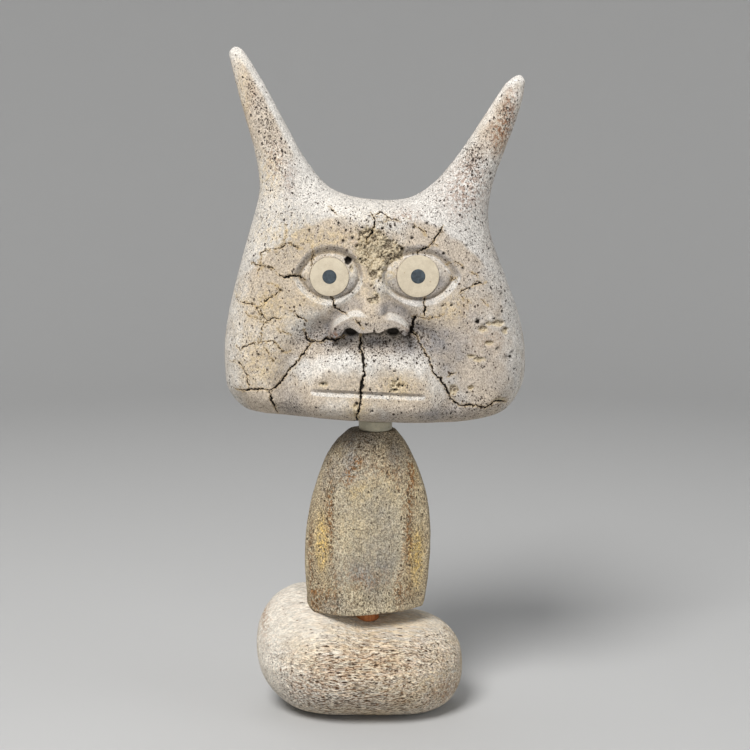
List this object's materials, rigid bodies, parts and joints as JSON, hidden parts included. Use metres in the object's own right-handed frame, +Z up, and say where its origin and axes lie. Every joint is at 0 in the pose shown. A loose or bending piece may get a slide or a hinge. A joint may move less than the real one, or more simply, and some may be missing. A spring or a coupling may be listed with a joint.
{
  "type": "inuit spirit sculpture",
  "caption": "Freestanding carved spirit figure: flat horned head with inlaid eyes, on a short collar, a bullet-shaped body and a pebble-shaped base.",
  "frame": {"origin": "middle of the footprint of the whole figure, on the flat underside of the base", "axes": "+Z up from the base to the horns, -Y the way the face looks, +X to the viewer's right when the face is seen"},
  "size_m": [0.1522, 0.0748, 0.3399],
  "materials": {
    "head_bone": "weathered whale bone, cracked and pored, matt",
    "ivory": "smooth aged ivory, satin",
    "pupil": "dark polished inlay",
    "collar_ivory": "grey-green aged ivory, satin",
    "body_bone": "weathered whale bone, speckled and stained, matt",
    "dowel_wood": "orange-brown wood, plain",
    "base_bone": "pale whale bone with fine brown pores, matt"
  },
  "bodies": {
    "root": {"head": "head_bone", "eye_left": "ivory", "eye_right": "ivory", "pupil_left": "pupil", "pupil_right": "pupil", "neck_collar": "collar_ivory", "body": "body_bone", "dowel": "dowel_wood", "base": "base_bone"}
  },
  "joints": []
}
